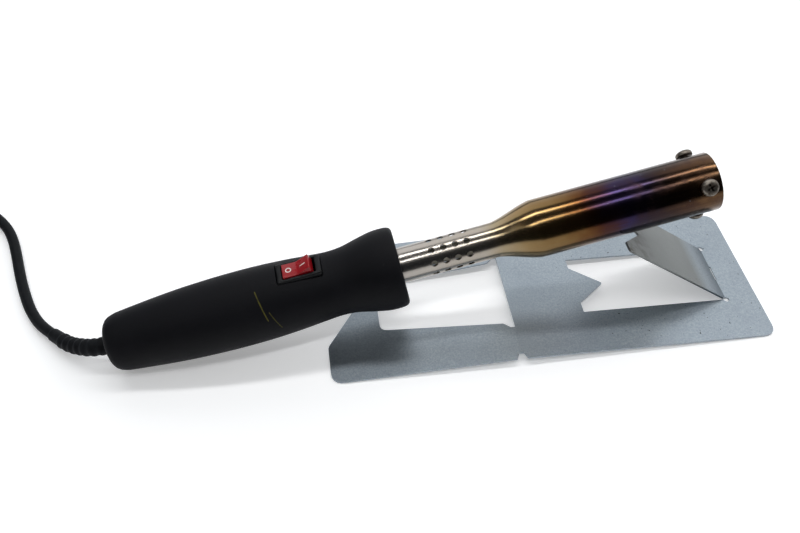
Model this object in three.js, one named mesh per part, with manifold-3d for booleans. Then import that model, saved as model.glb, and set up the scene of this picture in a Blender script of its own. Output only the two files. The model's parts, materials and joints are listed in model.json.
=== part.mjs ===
// Folded sheet-steel rest with the heavy soldering iron that lies in it.
// Millimetres, +Z up. The table is z = 0, X runs along the rest towards the mouth of the iron,
// and the origin is on the table under the middle of the overall length.
import * as THREE from 'three';
import { mergeVertices } from 'three/addons/utils/BufferGeometryUtils.js';
import Module from 'manifold-3d';

const wasm = await Module();
wasm.setup();

// ---------------------------------------------------------------- driving dimensions
const DEG = Math.PI / 180;
const GAP = 0.3;                    // running and assembly clearance between touching pieces

const sheet = {
  thickness: 1.0,
  width: 85,
  leftLength: 91.9,                 // from the middle bend to the notched end
  rightLength: 130.1,               // from the middle bend to the flap end
  bendX: 32.6,                      // where the middle bend lies along X
  bendHeight: 3.63,                 // underside of the middle bend above the table
  cornerRadius: 6.5,
  bridgeIn: 23.3,                   // the two strips that cross the bend lie between these
  bridgeOut: 39.2,
};
const opening = { left: 37.6, right: 113.3, halfWidth: 17.9 };
const notch = { halfWidth: 11.8, depth: 15.1, root: 1.2 };
const flap = { angle: 35, halfWidth: 17.6, cornerRadius: 1.8 };

// The iron's own axis is local Z, from the middle of its butt. Local X points up, at the switch.
const iron = {
  butt: [-163.49, -14.81, 12.5],
  elevation: 10.09,
  azimuth: 3.93,
  mouth: 296.8,
  barrelRadius: 14,
  neckRadius: 8.5,
  wall: 0.8,
};
const buttFace = 2.6;               // the handle's rear face, along the axis
const cavity = { start: 5.6, radius: 13.2, bossStart: 121, bossRadius: 10.2, collarRadius: 15 };
const flangeScrew = { circle: 12.5, angles: [0, 120, 240], pilot: 1.35, clearance: 1.75 };
const collarFace = 144.5;
const flangeSeat = 139.2;
const switchAt = { s: 98.7, top: 17.0, length: 21, width: 12, ledge: 14.2, floor: 4.0 };
const rockerAt = {
  pivot: 14.8,                      // height of the pivot above the iron's axis
  throwAngle: 12,                   // the rocker stands this far either side of its middle
  width: 8.2,
  pinRadius: 0.9,
  pinLength: 9.8,
  plungerBore: 1.5,
};
const cord = { radius: 2.75, coreRadius: 0.95 };
const coil = {
  centre: [-283.9, 86.0],
  outerTurn: 39,
  innerTurn: 22.2,
  base: 1.0,
  layers: 2,
};
const plug = { tail: [-333.9, 28, 18.7], length: 50, radius: 18.5 };

// ---------------------------------------------------------------- materials
const metal = (color, roughness) => new THREE.MeshStandardMaterial({ color, roughness, metalness: 1 });
const plain = (color, roughness) => new THREE.MeshStandardMaterial({ color, roughness, metalness: 0 });
const galvanised = metal(0x8d98a2, 0.45);
const stainless = metal(0xc9c6bf, 0.22);
const tinted = metal(0x7a5a35, 0.28);
const screwSteel = metal(0x5c5a55, 0.5);
const brass = metal(0xb08d4a, 0.4);
const softTouch = plain(0x2b2c30, 0.7);
const blackPlastic = plain(0x15161a, 0.45);
const redPlastic = plain(0xb51f28, 0.35);
const blackRubber = plain(0x1a1b1e, 0.75);
const ceramic = plain(0xd8d2c4, 0.6);
const mica = plain(0xa89f86, 0.5);
const brownWire = plain(0x5a3520, 0.5);
const blueWire = plain(0x2456a0, 0.5);
const earthWire = plain(0x5f8f2f, 0.5);
const glassSleeve = plain(0xcfcabc, 0.8);

// ---------------------------------------------------------------- small tools
function solid(geometry) {
  const bare = geometry.clone();
  bare.deleteAttribute('normal');
  bare.deleteAttribute('uv');
  const merged = mergeVertices(bare, 1e-4);
  return new wasm.Manifold(new wasm.Mesh({
    numProp: 3,
    vertProperties: new Float32Array(merged.attributes.position.array),
    triVerts: new Uint32Array(merged.index.array),
  }));
}

function geometryOf(manifold) {
  const mesh = manifold.getMesh();
  const geometry = new THREE.BufferGeometry();
  geometry.setAttribute('position', new THREE.BufferAttribute(new Float32Array(mesh.vertProperties), 3));
  geometry.setIndex(new THREE.BufferAttribute(new Uint32Array(mesh.triVerts), 1));
  geometry.computeVertexNormals();
  return geometry;
}

const cut = (from, ...tools) => geometryOf(
  tools.reduce((body, tool) => body.subtract(solid(tool)), solid(from)));

const join = (first, ...others) => geometryOf(
  others.reduce((body, other) => body.add(solid(other)), solid(first)));

function named(name, geometry, material, parent) {
  const mesh = new THREE.Mesh(geometry, material);
  mesh.name = name;
  parent.add(mesh);
  return mesh;
}

// A turned piece about local Z. The profile is [station, radius] pairs and closes on itself or the axis.
function turned(profile, segments = 32) {
  const points = profile.map(([s, r]) => new THREE.Vector2(r, s));
  return new THREE.LatheGeometry(points, segments).rotateX(Math.PI / 2);
}

const ring = (inner, outer, from, to, segments = 32) => turned(
  [[from, inner], [from, outer], [to, outer], [to, inner], [from, inner]], segments);

const disc = (radius, from, to, segments = 32) => turned(
  [[from, 0], [from, radius], [to, radius], [to, 0]], segments);

// A box between two corners.
function block(low, high) {
  const size = high.map((v, i) => v - low[i]);
  return new THREE.BoxGeometry(...size).translate(...low.map((v, i) => v + size[i] / 2));
}

// An outline whose corners [x, y, radius] are rounded off where they state a radius.
function outline(corners) {
  const shape = new THREE.Shape();
  corners.forEach(([x, y, radius = 0], i) => {
    const here = new THREE.Vector2(x, y);
    const before = new THREE.Vector2(...corners.at(i - 1));
    const after = new THREE.Vector2(...corners[(i + 1) % corners.length]);
    const enter = here.clone().add(before.sub(here).setLength(radius));
    const leave = here.clone().add(after.sub(here).setLength(radius));
    if (i === 0) shape.moveTo(enter.x, enter.y);
    else shape.lineTo(enter.x, enter.y);
    if (radius > 0) shape.quadraticCurveTo(x, y, leave.x, leave.y);
  });
  shape.closePath();
  return shape;
}

const plate = (shape, thickness) => new THREE.ExtrudeGeometry(shape,
  { depth: thickness, bevelEnabled: false, curveSegments: 5 });

function circleShape(radius, sides) {
  const points = Array.from({ length: sides }, (_, i) => {
    const angle = (2 * Math.PI * i) / sides;
    return new THREE.Vector2(radius * Math.cos(angle), radius * Math.sin(angle));
  });
  return new THREE.Shape(points);
}

// A round bar along a smooth curve through the points.
function bar(points, radius, steps, sides = 8) {
  const path = new THREE.CatmullRomCurve3(points.map((p) => new THREE.Vector3(...p)));
  return new THREE.ExtrudeGeometry(circleShape(radius, sides),
    { steps, extrudePath: path, bevelEnabled: false });
}

// ---------------------------------------------------------------- the rest
const slope = Math.asin(sheet.bendHeight / sheet.rightLength);
const leftSlope = Math.asin(sheet.bendHeight / sheet.leftLength);
const lap = 0.2;                    // the two halves run into each other by this at the bend
const edgeNotch = { left: 2.3, right: 3.0, leftIn: 0.9, rightIn: 1.6 };
const flapFold = { reliefRadius: 1.5, slotHalf: 4.6, slotBack: 0.5, slotFront: 0.7, root: 0.9 };

function leftPlate() {
  const half = sheet.width / 2;
  const end = -sheet.leftLength;
  const inner = { end: -65.4, endHalf: 14.8, bendHalf: 20.4, radius: 3.4, shoulder: -4.6, step: -1.3 };
  const endNotch = { half: 21, depth: 14.6, lip: 1.5, root: 1 };
  return plate(outline([
    [lap, -sheet.bridgeOut], [-edgeNotch.leftIn, -sheet.bridgeOut], [-edgeNotch.left, -half],
    [end, -half, sheet.cornerRadius], [end, -endNotch.half, endNotch.lip],
    [end + endNotch.depth, 0, endNotch.root], [end, endNotch.half, endNotch.lip],
    [end, half, sheet.cornerRadius], [-edgeNotch.left, half],
    [-edgeNotch.leftIn, sheet.bridgeOut], [lap, sheet.bridgeOut],
    [lap, sheet.bridgeIn], [inner.step, sheet.bridgeIn], [inner.shoulder, inner.bendHalf],
    [inner.end, inner.endHalf, inner.radius], [inner.end, -inner.endHalf, inner.radius],
    [inner.shoulder, -inner.bendHalf], [inner.step, -sheet.bridgeIn], [lap, -sheet.bridgeIn],
  ].reverse()), sheet.thickness);
}

function rightPlate() {
  const half = sheet.width / 2;
  const end = sheet.rightLength;
  const step = 0.9;
  const shape = outline([
    [-lap, -sheet.bridgeOut], [edgeNotch.rightIn, -sheet.bridgeOut], [edgeNotch.right, -half],
    [end, -half, sheet.cornerRadius], [end, half, sheet.cornerRadius],
    [edgeNotch.right, half], [edgeNotch.rightIn, sheet.bridgeOut], [-lap, sheet.bridgeOut],
    [-lap, sheet.bridgeIn], [step, sheet.bridgeIn], [step, -sheet.bridgeIn], [-lap, -sheet.bridgeIn],
  ]);
  shape.holes.push(outline([
    [opening.left, -opening.halfWidth], [opening.left, -notch.halfWidth],
    [opening.left + notch.depth, 0, notch.root], [opening.left, notch.halfWidth],
    [opening.left, opening.halfWidth], [opening.right, opening.halfWidth],
    [opening.right, -opening.halfWidth],
  ]));
  return plate(shape, sheet.thickness);
}

// The flap runs on into the plate behind its fold, so that the two make one sheet.
function foldedFlap() {
  const length = opening.right - opening.left - GAP;
  const w = flap.halfWidth;
  return plate(outline([
    [flapFold.root, -w], [flapFold.root, w], [-length, w, flap.cornerRadius], [-length, notch.halfWidth],
    [-length + notch.depth, 0, notch.root], [-length, -notch.halfWidth], [-length, -w, flap.cornerRadius],
  ]), sheet.thickness).translate(0, 0, -sheet.thickness).rotateY(flap.angle * DEG)
    .translate(opening.right, 0, sheet.thickness);
}

function standSheet() {
  const left = leftPlate().rotateY(-leftSlope);
  const right = join(rightPlate(), foldedFlap());
  const through = 4;                // far enough past both faces of the sheet
  const { reliefRadius, slotHalf, slotBack, slotFront } = flapFold;
  const reliefHole = (y) => new THREE.CylinderGeometry(reliefRadius, reliefRadius, 2 * through, 12)
    .rotateX(Math.PI / 2).translate(opening.right + GAP, y, 0);
  const hingeSlot = block([opening.right - slotBack, -slotHalf, -through],
    [opening.right + slotFront, slotHalf, through]);
  const trimmed = cut(right, reliefHole(opening.halfWidth), reliefHole(-opening.halfWidth), hingeSlot);
  return join(left, trimmed.rotateY(slope));
}

// ---------------------------------------------------------------- the iron's handle
function handleOutside() {
  const side = new THREE.SplineCurve([
    [7, 13.6], [9, 14.1], [18, 15.1], [30, 16.3], [44, 17.3], [62, 17.9], [78, 17.8], [92, 17.1],
    [103, 16.2], [112, 15.6], [119.5, 16.1], [127, 17.8], [134, 19.2],
  ].map(([s, r]) => new THREE.Vector2(s, r))).getPoints(12).map((p) => [p.x, p.y]);
  return turned([
    [buttFace, 0], [buttFace, 9.4], [3.2, 11.4], [4.6, 12.7], ...side,
    [139, 19.5], [142.6, 19.2], [144, 18.2], [collarFace, 16.6], [collarFace, 0],
  ], 32);
}

function handleShell() {
  const inside = turned([
    [cavity.start, 0], [cavity.start, 11.6], [8, cavity.radius - 1.2], [22, cavity.radius],
    [88, cavity.radius], [92, 12.6], [cavity.bossStart - 4, 12.4], [cavity.bossStart, cavity.bossRadius],
    [flangeSeat, cavity.bossRadius], [flangeSeat, cavity.collarRadius],
    [collarFace + 1, cavity.collarRadius], [collarFace + 1, 0],
  ], 24);
  const { s, length, width, ledge } = switchAt;
  const above = 25;                 // clear of the outside of the handle
  const pocket = block([ledge - 0.1, -width / 2 - GAP, s - length / 2 - GAP],
    [above, width / 2 + GAP, s + length / 2 + GAP]);
  const window = block([8, -switchBody.halfWidth - GAP, s - switchBody.halfLength - 0.4],
    [above, switchBody.halfWidth + GAP, s + switchBody.halfLength + 0.4]);
  const cordHole = disc(4.5, -1, cavity.start + 1, 20);
  const pilots = flangeScrew.angles.map((angle) => onCircle(
    disc(flangeScrew.pilot, flangeSeat - 10.2, flangeSeat + 1, 10), flangeScrew.circle, angle));
  return cut(handleOutside(), inside, pocket, window, cordHole, ...pilots);
}

const onCircle = (geometry, radius, angle) => geometry.translate(radius, 0, 0).rotateZ(angle * DEG);

// ---------------------------------------------------------------- rocker switch
const switchBody = { halfLength: 9.1, halfWidth: 5.4 };
const well = { halfLength: 7.9, halfWidth: 4.3, floor: 5.4 };
const tabs = { line: 94.2, load: 103.2, width: 4.8, thickness: 0.8, tip: -2.6, top: 7.0 };

function switchHousing() {
  const { s, top, length, width, ledge, floor } = switchAt;
  const bezel = block([ledge, -width / 2, s - length / 2], [top, width / 2, s + length / 2]);
  const body = block([floor, -switchBody.halfWidth, s - switchBody.halfLength],
    [ledge + 0.5, switchBody.halfWidth, s + switchBody.halfLength]);
  const wellBox = block([well.floor, -well.halfWidth, s - well.halfLength],
    [top + 1, well.halfWidth, s + well.halfLength]);
  const pinHoleRadius = rockerAt.pinRadius + 0.25;
  const pinHole = new THREE.CylinderGeometry(pinHoleRadius, pinHoleRadius, rockerAt.pinLength + 0.4, 12)
    .translate(rockerAt.pivot, 0, s);
  const around = 0.2;               // clearance round a tab
  const slots = [tabs.line, tabs.load].map((at) => block(
    [floor - 1, -tabs.width / 2 - around, at - tabs.thickness / 2 - around],
    [well.floor + 1, tabs.width / 2 + around, at + tabs.thickness / 2 + around]));
  return cut(join(bezel, body), wellBox, pinHole, ...slots);
}

// The rocker's side outline about its own pivot, before it is turned to its off position.
function rocker() {
  const { pivot, throwAngle, width, pinRadius, pinLength, plungerBore } = rockerAt;
  const side = [
    [-6.8, 4.4], [0, 2.7], [6.8, 4.4], [7.0, 0.2], [5.2, -3.4], [2.2, -4.2],
    [-2.2, -4.2], [-5.2, -3.4], [-7.0, 0.2],
  ];
  const shape = new THREE.Shape(side.map(([a, h]) => new THREE.Vector2(a, h)));
  const body = new THREE.ExtrudeGeometry(shape, { depth: width, bevelEnabled: false })
    .translate(0, 0, -width / 2);
  const pivotPins = new THREE.CylinderGeometry(pinRadius, pinRadius, pinLength, 12).rotateX(Math.PI / 2);
  const bore = new THREE.CylinderGeometry(plungerBore, plungerBore, 4, 12).translate(0, -4.2, 0);
  // Outline X runs along the iron and outline Y points up, so both turn into the iron's Z and X.
  const upright = new THREE.Matrix4().makeBasis(
    new THREE.Vector3(0, 0, 1), new THREE.Vector3(1, 0, 0), new THREE.Vector3(0, 1, 0));
  return cut(join(body, pivotPins), bore).rotateZ(throwAngle * DEG).applyMatrix4(upright)
    .translate(pivot, 0, switchAt.s);
}

// The spring-loaded pin under the rocker, which presses on the moving contact.
function rockerPlunger() {
  const pin = turned([[-8.7, 0], [-8.7, 0.5], [-8.3, 0.9], [-7.7, 1.2], [-2.6, 1.2], [-2.6, 0]], 12)
    .rotateY(Math.PI / 2);
  return pin.rotateY(rockerAt.throwAngle * DEG).translate(rockerAt.pivot, 0, switchAt.s);
}

// ---------------------------------------------------------------- heater and barrel
const cone = { start: 190.5, end: 210.8, easeLength: 2.5, easeRise: 0.45 };
const tubeRear = 136;
const screwHole = { radius: 2.35, length: 8, middle: 12 };
const vents = { first: 160, pitch: 5.7, columns: 4, rows: 8, firstAngle: 20, radius: 1.5 };
const clampStation = 289.9;
const clampAngles = [51.6, -68.4, 171.6];
const clampLift = [1.2, 1.2, 2.2];  // how far each clamp screw's head stands off the barrel
const socket = { bore: 9.7, outer: 10.5, start: 218, collarStart: 284, end: 296.5 };

function heaterTube() {
  const { neckRadius: a, barrelRadius: b, wall: w, mouth } = iron;
  const { start, end, easeLength, easeRise } = cone;
  const body = turned([
    [tubeRear, a - w], [tubeRear, a], [start, a], [start + easeLength, a + easeRise],
    [end - easeLength, b - easeRise], [end, b], [mouth, b], [mouth, b - w], [end, b - w],
    [start, a - w], [tubeRear, a - w],
  ], 28);
  const holes = [];
  for (let row = 0; row < vents.rows; row += 1) {
    for (let column = 0; column < vents.columns; column += 1) {
      const hole = new THREE.CylinderGeometry(vents.radius, vents.radius, 4, 6).rotateZ(Math.PI / 2);
      hole.translate(a, 0, vents.first + column * vents.pitch);
      holes.push(hole.rotateZ((vents.firstAngle + (row * 360) / vents.rows) * DEG));
    }
  }
  return cut(body, ...holes, ...clampAngles.map((angle) => clampHole(angle)));
}

const clampHole = (angle) => new THREE.CylinderGeometry(
  screwHole.radius, screwHole.radius, screwHole.length, 12)
  .rotateZ(Math.PI / 2).translate(screwHole.middle, 0, clampStation).rotateZ(angle * DEG);

function bitSocket() {
  const { bore, outer, start, collarStart, end } = socket;
  const collar = iron.barrelRadius - iron.wall - 0.2;
  const body = turned([
    [start, bore], [start, outer], [collarStart, outer], [collarStart, collar], [end, collar],
    [end, bore], [start, bore],
  ]);
  return cut(body, ...clampAngles.map((angle) => clampHole(angle)));
}

// A pan-head screw along local +X, its head's underside at the stated radius.
function panScrew(shank, head, headHeight, length, under) {
  return turned([
    [under - length, 0], [under - length, shank], [under, shank], [under, head],
    [under + headHeight * 0.55, head], [under + headHeight, head * 0.55], [under + headHeight, 0],
  ], 16).rotateY(Math.PI / 2);
}

function clampScrew(i) {
  const under = iron.barrelRadius + clampLift[i];
  const tip = socket.bore + 0.1;    // the shank ends flush with the bore that it clamps through
  return panScrew(2, 4, 2.7, under - tip, under).translate(0, 0, clampStation)
    .rotateZ(clampAngles[i] * DEG);
}

function heaterWinding() {
  const winding = { radius: 11.85, wire: 0.33, from: 225, to: 279, turns: 9 };
  const stepsPerTurn = 14;
  const points = Array.from({ length: winding.turns * stepsPerTurn + 1 }, (_, i) => {
    const turn = i / stepsPerTurn;
    const angle = 2 * Math.PI * turn;
    return [winding.radius * Math.cos(angle), winding.radius * Math.sin(angle),
      winding.from + ((winding.to - winding.from) * turn) / winding.turns];
  });
  return bar(points, winding.wire, winding.turns * stepsPerTurn, 4);
}

function rearInsulator() {
  const rear = 211.4;
  const front = 217.4;
  const leadHole = (y) => disc(1.6, rear - 1, front + 1, 12).translate(0, y, 0);
  return cut(disc(12.9, rear, front, 24), leadHole(11.2), leadHole(-11.2));
}

// ---------------------------------------------------------------- inside the handle
const terminal = { low: [-9.5, -7.5, 58], high: [-2.5, 7.5, 75], pole: 4.2, boreX: -6 };

function terminalBlock() {
  const { low, high, pole, boreX } = terminal;
  const bores = [pole, -pole].map((y) => disc(1.5, low[2] - 1, high[2] + 1, 10).translate(boreX, y, 0));
  const screwHoles = terminalScrewPlaces().map(([y, s]) => new THREE.CylinderGeometry(1.75, 1.75, 6, 10)
    .rotateZ(Math.PI / 2).translate(-3, y, s));
  return cut(block(low, high), ...bores, ...screwHoles);
}

function terminalScrewPlaces() {
  const { pole } = terminal;
  return [[pole, 62], [pole, 71], [-pole, 62], [-pole, 71]];
}

const terminalScrew = ([y, s]) => new THREE.CylinderGeometry(1.4, 1.4, 1.9, 10)
  .rotateZ(Math.PI / 2).translate(-3.6, y, s);

const tab = (at) => block([tabs.tip, -tabs.width / 2, at - tabs.thickness / 2],
  [tabs.top, tabs.width / 2, at + tabs.thickness / 2]);

const wires = {
  core_line: { color: brownWire, steps: 16, route: [
    [1.3, 0, 30.6], [1.5, 0.5, 40], [1.8, 1.2, 55], [1.8, 1.2, 72], [0, 0.3, 86], [-0.5, 0, 93.3]] },
  core_neutral: { color: blueWire, steps: 12, route: [
    [-0.65, 1.13, 30.6], [-2, 2.2, 38], [-5, 3.8, 48], [-6, 4.2, 55], [-6, 4.2, 63]] },
  core_earth: { color: earthWire, steps: 24, route: [
    [-0.65, -1.13, 30.6], [-0.8, -3, 37], [0, -7.5, 47], [1.5, -10.2, 58], [1.5, -10.4, 100],
    [0.8, -9.4, 114], [0, -8.1, 124], [0, -8.1, 135.6]] },
  switch_wire: { color: brownWire, steps: 28, route: [
    [-0.5, 0, 104.1], [-0.9, 0, 107.2], [-4, 0, 110], [-7.6, 0, 107], [-8.4, 0, 98], [-7.4, 0, 86],
    [-4, -0.8, 79.8], [-0.8, -2.2, 74], [-0.6, -4.4, 62], [-1.2, -5, 54], [-3.8, -4.6, 49.8],
    [-6, -4.2, 52.5], [-6, -4.2, 63]] },
};

const heaterLead = (side) => bar([
  [0, side * 11.85, 222.8], [0, side * 11.65, 217], [0, side * 10.9, 210], [0, side * 7.6, 202],
  [0, side * 4.6, 192], [0, side * 4, 180], [0, side * 4, 145], [-2, side * 4, 130],
  [-6, side * 4.2, 112], [-6, side * 4.2, 84], [-6, side * 4.2, 70.2]], 0.95, 20, 6);

// ---------------------------------------------------------------- mains lead
const reliefBend = [[-168.8, -14.2, 11.6], [-175, -11.6, 9.4], [-182.8, -6.6, 6.6], [-192.1, 1.9, 4.7]];
const leadRoute = [
  [-192.55, 2.35, 4.62], [-196.3, 6.1, 4.1], [-200.5, 11.2, 3.3], [-204.4, 17.4, 2.85],
  [-207.9, 24.6, 2.75], [-212.4, 36.5, 2.75], [-216.3, 48.9, 2.75], [-219.6, 60.5, 2.75],
  [-223.1, 71.4, 2.75], [-227.1, 80.2, 2.75], [-232.4, 88.0, 2.8], [-239.8, 95.9, 3.3],
];
const tailRoute = [
  [-333.2, 84.5, 2.75], [-333.9, 75.7, 2.85], [-333.9, 66, 4.3], [-333.9, 56, 9.4],
  [-333.9, 47, 14.8], [-333.9, 38, 18.0], [-333.9, 28.4, 18.7],
];

// A tube with a bore along a route, with flat ring-shaped ends. The radii are [fraction, radius] pairs.
function taperedTube(route, radii, bore, steps, sides) {
  const path = new THREE.CatmullRomCurve3(route.map((p) => new THREE.Vector3(...p)));
  const frames = path.computeFrenetFrames(steps, false);
  const radiusAt = (u) => {
    const at = Math.max(1, radii.findIndex(([v]) => v >= u));
    const [[u0, r0], [u1, r1]] = [radii[at - 1], radii[at]];
    return r0 + ((r1 - r0) * (u - u0)) / (u1 - u0);
  };
  const positions = [];
  const faces = [];
  for (let i = 0; i <= steps; i += 1) {
    const centre = path.getPointAt(i / steps);
    for (const radius of [radiusAt(i / steps), bore]) {
      for (let k = 0; k < sides; k += 1) {
        const angle = (2 * Math.PI * k) / sides;
        const spot = centre.clone()
          .addScaledVector(frames.normals[i], radius * Math.cos(angle))
          .addScaledVector(frames.binormals[i], radius * Math.sin(angle));
        positions.push(spot.x, spot.y, spot.z);
      }
    }
  }
  const outer = (i, k) => 2 * i * sides + (k % sides);
  const inside = (i, k) => outer(i, k) + sides;
  const quad = (a, b, c, d) => faces.push(a, b, c, a, c, d);
  for (let k = 0; k < sides; k += 1) {
    for (let i = 0; i < steps; i += 1) {
      quad(outer(i, k), outer(i, k + 1), outer(i + 1, k + 1), outer(i + 1, k));
      quad(inside(i, k + 1), inside(i, k), inside(i + 1, k), inside(i + 1, k + 1));
    }
    quad(outer(0, k + 1), outer(0, k), inside(0, k), inside(0, k + 1));
    quad(outer(steps, k), outer(steps, k + 1), inside(steps, k + 1), inside(steps, k));
  }
  const geometry = new THREE.BufferGeometry();
  geometry.setAttribute('position', new THREE.Float32BufferAttribute(positions, 3));
  geometry.setIndex(faces);
  return geometry;
}

const bundle = {
  low: coil.base,
  high: coil.base + coil.layers * 2 * cord.radius,
  inner: coil.innerTurn - cord.radius - 0.1,
  outer: coil.outerTurn + cord.radius + 0.9,
};

function cordCoil() {
  const { low, high, inner, outer } = bundle;
  const round = 2.2;
  return turned([
    [low, inner + round], [low, outer - round], [low + round, outer], [high - round, outer],
    [high, outer - round], [high, inner + round], [high - round, inner], [low + round, inner],
    [low, inner + round],
  ], 40).translate(...coil.centre, 0);
}

// The tie is a flat band looped round the coil's bundle.
function cordTie() {
  const band = { thickness: 0.65, width: 5, angle: 205, slack: 0.25 };
  const inner = bundle.inner - GAP;
  const outer = bundle.outer + GAP;
  const low = bundle.low - band.slack;
  const high = bundle.high + band.slack;
  const t = band.thickness;
  const loop = outline([
    [inner - t, low - t, 2], [outer + t, low - t, 2], [outer + t, high + t, 2], [inner - t, high + t, 2]]);
  loop.holes.push(outline([[inner, low, 1.2], [inner, high, 1.2], [outer, high, 1.2], [outer, low, 1.2]]));
  return new THREE.ExtrudeGeometry(loop, { depth: band.width, bevelEnabled: false, curveSegments: 3 })
    .translate(0, 0, -band.width / 2).rotateX(Math.PI / 2).rotateZ(band.angle * DEG)
    .translate(...coil.centre, 0);
}

// ---------------------------------------------------------------- plug, along local +Z from its tail
const pins = { spacing: 19, radius: 2.4, length: 19 };

function plugBody() {
  const { length, radius } = plug;
  const body = turned([
    [0, 0], [0, 3.5], [16, 5.2], [20, 7.6], [27, 10.5], [33, 15.5], [36, 17.6], [38, radius],
    [length, radius], [length, 0],
  ], 28);
  const pinHoles = [1, -1].map((side) => disc(pins.radius + 0.2, length - 8, length + 1, 14)
    .translate(0, (side * pins.spacing) / 2, 0));
  const earthGroove = (side) => block([side > 0 ? radius - 2.6 : -radius - 2, -3.2, length - 9],
    [side > 0 ? radius + 2 : -radius + 2.6, 3.2, length + 1]);
  return cut(body, ...pinHoles, earthGroove(1), earthGroove(-1));
}

const plugPin = (side) => turned([
  [plug.length - 7.7, 0], [plug.length - 7.7, pins.radius], [plug.length + pins.length - 1.6, pins.radius],
  [plug.length + pins.length, 1], [plug.length + pins.length, 0],
], 14).translate(0, (side * pins.spacing) / 2, 0);

const earthClip = (side) => block([side * (plug.radius - 1.5) - 0.5, -2.5, plug.length - 8.7],
  [side * (plug.radius - 1.5) + 0.5, 2.5, plug.length - 1]);

// ---------------------------------------------------------------- assembly
const part = new THREE.Group();

const restGroup = new THREE.Group();
restGroup.position.set(sheet.bendX, 0, sheet.bendHeight);
part.add(restGroup);
named('stand_sheet', standSheet(), galvanised, restGroup);

const ironGroup = new THREE.Group();
const el = iron.elevation * DEG;
const az = iron.azimuth * DEG;
const along = new THREE.Vector3(Math.cos(el) * Math.cos(az), Math.cos(el) * Math.sin(az), Math.sin(el));
const upward = new THREE.Vector3(0, 0, 1).addScaledVector(along, -along.z).normalize();
const sideways = new THREE.Vector3().crossVectors(along, upward);
ironGroup.quaternion.setFromRotationMatrix(new THREE.Matrix4().makeBasis(upward, sideways, along));
ironGroup.position.set(...iron.butt);
part.add(ironGroup);

named('handle_shell', handleShell(), softTouch, ironGroup);
named('switch_housing', switchHousing(), blackPlastic, ironGroup);
named('switch_rocker', rocker(), redPlastic, ironGroup);
named('switch_plunger', rockerPlunger(), ceramic, ironGroup);
named('switch_tab_line', tab(tabs.line), brass, ironGroup);
named('switch_tab_load', tab(tabs.load), brass, ironGroup);

named('heater_tube', heaterTube(), tinted, ironGroup);
named('mount_flange', cut(
  ring(iron.neckRadius + 0.25, cavity.collarRadius - GAP, flangeSeat + GAP, flangeSeat + GAP + 1.5),
  ...flangeScrew.angles.map((angle) => onCircle(
    disc(flangeScrew.clearance, flangeSeat - 1, flangeSeat + 4, 12), flangeScrew.circle, angle)),
), stainless, ironGroup);
flangeScrew.angles.forEach((angle, i) => {
  const screw = panScrew(1.1, 1.95, 1.6, 9, flangeSeat + 2.1).rotateY(-Math.PI / 2);
  named(`flange_screw_${i + 1}`, onCircle(screw, flangeScrew.circle, angle), screwSteel, ironGroup);
});
named('bit_socket', bitSocket(), stainless, ironGroup);
clampAngles.forEach((_, i) => named(`clamp_screw_${i + 1}`, clampScrew(i), screwSteel, ironGroup));
named('mica_sleeve_inner', ring(10.7, 11.0, 223.5, 281, 24), mica, ironGroup);
named('heater_winding', heaterWinding(), stainless, ironGroup);
named('mica_sleeve_outer', ring(12.4, 12.85, 223.5, 281, 24), mica, ironGroup);
named('rear_insulator', rearInsulator(), ceramic, ironGroup);
named('heater_lead_1', heaterLead(1), glassSleeve, ironGroup);
named('heater_lead_2', heaterLead(-1), glassSleeve, ironGroup);

named('terminal_block', terminalBlock(), ceramic, ironGroup);
terminalScrewPlaces().forEach((place, i) => {
  named(`terminal_screw_${i + 1}`, terminalScrew(place), brass, ironGroup);
});
Object.entries(wires).forEach(([name, wire]) => {
  named(name, bar(wire.route, cord.coreRadius, wire.steps, 6), wire.color, ironGroup);
});
named('cord_crimp', ring(cord.radius + 0.25, 4.2, 9.4, 15.4, 16), screwSteel, ironGroup);

// The relief and the lead run in the table's own frame.
const reliefBore = cord.radius + 0.4;
const reliefRoute = [ironPoint(7.5), ironPoint(buttFace), ...reliefBend];
named('strain_relief', join(
  taperedTube(reliefRoute, [[0, 4.15], [0.2, 4.2], [1, 3.45]], reliefBore, 10, 12),
  ring(reliefBore, 6.4, cavity.start + GAP, cavity.start + 3.1, 12).applyMatrix4(ironMatrix()),
), blackRubber, part);
named('cord_entry', bar([
  ironPoint(30), ironPoint(22), ironPoint(14), ...reliefRoute], cord.radius, 18, 8),
blackRubber, part);
named('cord_lead', bar(leadRoute, cord.radius, 18, 8), blackRubber, part);
named('cord_coil', cordCoil(), blackRubber, part);
named('cord_tie', cordTie(), blackRubber, part);
named('cord_tail', bar(tailRoute, cord.radius, 12, 8), blackRubber, part);

const plugGroup = new THREE.Group();
plugGroup.position.set(...plug.tail);
plugGroup.rotation.set(Math.PI / 2, 0, 0);
part.add(plugGroup);
named('plug_body', plugBody(), blackRubber, plugGroup);
named('plug_pin_1', plugPin(1), brass, plugGroup);
named('plug_pin_2', plugPin(-1), brass, plugGroup);
named('plug_earth_clip_1', earthClip(1), brass, plugGroup);
named('plug_earth_clip_2', earthClip(-1), brass, plugGroup);

function ironMatrix() {
  ironGroup.updateMatrix();
  return ironGroup.matrix;
}

function ironPoint(station) {
  return new THREE.Vector3(0, 0, station).applyMatrix4(ironMatrix()).toArray();
}

export default part;
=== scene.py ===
"""Looks for the folded sheet rest and the heavy soldering iron that lies in it.

Shapes are worked out in millimetres. The iron's pieces are made in the iron's own frame: x up
(towards the switch), y sideways (towards the front), z along the iron from its butt. The cord, its
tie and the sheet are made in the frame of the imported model.
"""
import json
import math

import bmesh
import bpy
from mathutils import Matrix, Vector


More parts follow.
